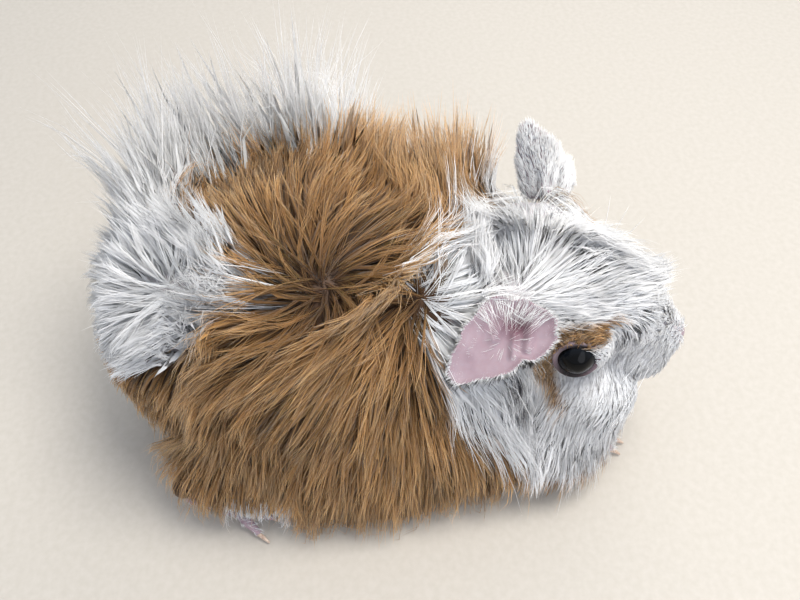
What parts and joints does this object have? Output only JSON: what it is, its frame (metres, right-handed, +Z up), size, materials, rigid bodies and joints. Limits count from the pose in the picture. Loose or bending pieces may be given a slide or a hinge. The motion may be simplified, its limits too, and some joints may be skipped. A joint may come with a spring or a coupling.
{
  "type": "guinea pig model",
  "caption": "Life-size still model of a young rough-coated guinea pig, ginger and white, crouched flat on the floor with its head turned a little to its right.",
  "frame": {"origin": "centre of the bounding box at floor level, under the belly", "axes": "+Z up, the animal faces -Y, its left side is +X"},
  "size_m": [0.102, 0.1554, 0.1003],
  "materials": {
    "ginger_coat": "long rough fur, ginger brown",
    "white_coat": "long rough fur, white",
    "pink_skin": "bare thin skin with fine hairs",
    "eye": "wet gloss",
    "claw": "smooth pale horn"
  },
  "bodies": {
    "root": {"trunk": "ginger_coat", "neck": "ginger_coat", "chest": "ginger_coat", "front_leg_left": "ginger_coat", "front_leg_right": "ginger_coat", "hind_leg_left": "ginger_coat", "hind_leg_right": "ginger_coat", "rump": "white_coat", "head": "white_coat", "front_foot_left": "white_coat", "front_foot_right": "white_coat", "hind_foot_left": "white_coat", "hind_foot_right": "white_coat", "ear_left": "pink_skin", "ear_right": "pink_skin", "nose": "pink_skin", "eye_left": "eye", "eye_right": "eye", "front_foot_left_claw_1": "claw", "front_foot_left_claw_2": "claw", "front_foot_left_claw_3": "claw", "front_foot_left_claw_4": "claw", "front_foot_right_claw_1": "claw", "front_foot_right_claw_2": "claw", "front_foot_right_claw_3": "claw", "front_foot_right_claw_4": "claw", "hind_foot_left_claw_1": "claw", "hind_foot_left_claw_2": "claw", "hind_foot_left_claw_3": "claw", "hind_foot_right_claw_1": "claw", "hind_foot_right_claw_2": "claw", "hind_foot_right_claw_3": "claw"}
  },
  "joints": []
}
